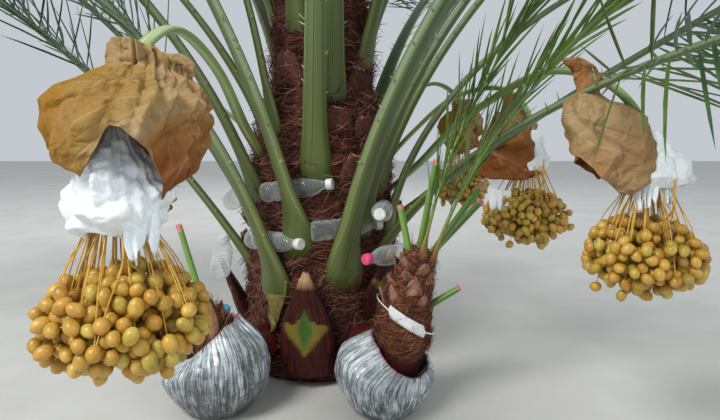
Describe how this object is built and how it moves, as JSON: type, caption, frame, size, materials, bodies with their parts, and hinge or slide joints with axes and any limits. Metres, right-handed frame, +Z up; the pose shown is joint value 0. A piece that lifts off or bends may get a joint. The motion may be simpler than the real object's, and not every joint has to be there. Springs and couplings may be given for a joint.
{
  "type": "date palm tree",
  "caption": "Young rooted date palm with arching feather fronds, hanging covered fruit bunches and rooted offshoots.",
  "frame": {"origin": "middle of the flat cut under the trunk, at ground level", "axes": "+Z up the trunk, +Y away from the side that the picture shows, +X to its right"},
  "size_m": [4.8003, 4.8416, 3.191],
  "materials": {
    "bark": "rough red-brown leaf-base fibre",
    "frond": "waxy green stalk and blue-green leaflets",
    "fruit": "smooth golden-ochre dates on yellow strands",
    "fruit_stalk": "smooth pale green-yellow",
    "paper": "crumpled brown kraft paper",
    "fleece": "soft white non-woven fleece",
    "leaf_base": "red-brown husk with an olive middle",
    "root_wrap": "clear crinkled film over dark moss",
    "offshoot_fibre": "brown hairy fibre"
  },
  "bodies": {
    "root": {"boot_front": "leaf_base", "boot_left": "leaf_base", "boot_right": "leaf_base", "bunch_1": "fruit", "bunch_2": "fruit", "bunch_3": "fruit", "bunch_4": "fruit", "bunch_5": "fruit", "cover_1": "paper", "cover_2": "paper", "cover_3": "paper", "cover_4": "paper", "cover_5": "paper", "fleece_1": "fleece", "fleece_2": "fleece", "fleece_3": "fleece", "frond_01": "frond", "frond_02": "frond", "frond_03": "frond", "frond_04": "frond", "frond_05": "frond", "frond_06": "frond", "frond_07": "frond", "frond_08": "frond", "frond_09": "frond", "frond_10": "frond", "frond_11": "frond", "frond_12": "frond", "frond_13": "frond", "frond_14": "frond", "frond_15": "frond", "frond_16": "frond", "frond_17": "frond", "frond_18": "frond", "frond_19": "frond", "frond_20": "frond", "frond_21": "frond", "frond_22": "frond", "frond_23": "frond", "frond_24": "frond", "frond_25": "frond", "frond_26": "frond", "frond_27": "frond", "frond_28": "frond", "frond_29": "frond", "frond_30": "frond", "heart": "frond", "offshoot_left_root_ball": "root_wrap", "offshoot_left_stem": "offshoot_fibre", "offshoot_right_leaf_1": "frond", "offshoot_right_leaf_2": "frond", "offshoot_right_root_ball": "root_wrap", "offshoot_right_stem": "offshoot_fibre", "stalk_1": "fruit_stalk", "stalk_2": "fruit_stalk", "stalk_3": "fruit_stalk", "stalk_4": "fruit_stalk", "stalk_5": "fruit_stalk", "trunk": "bark"}
  },
  "joints": []
}
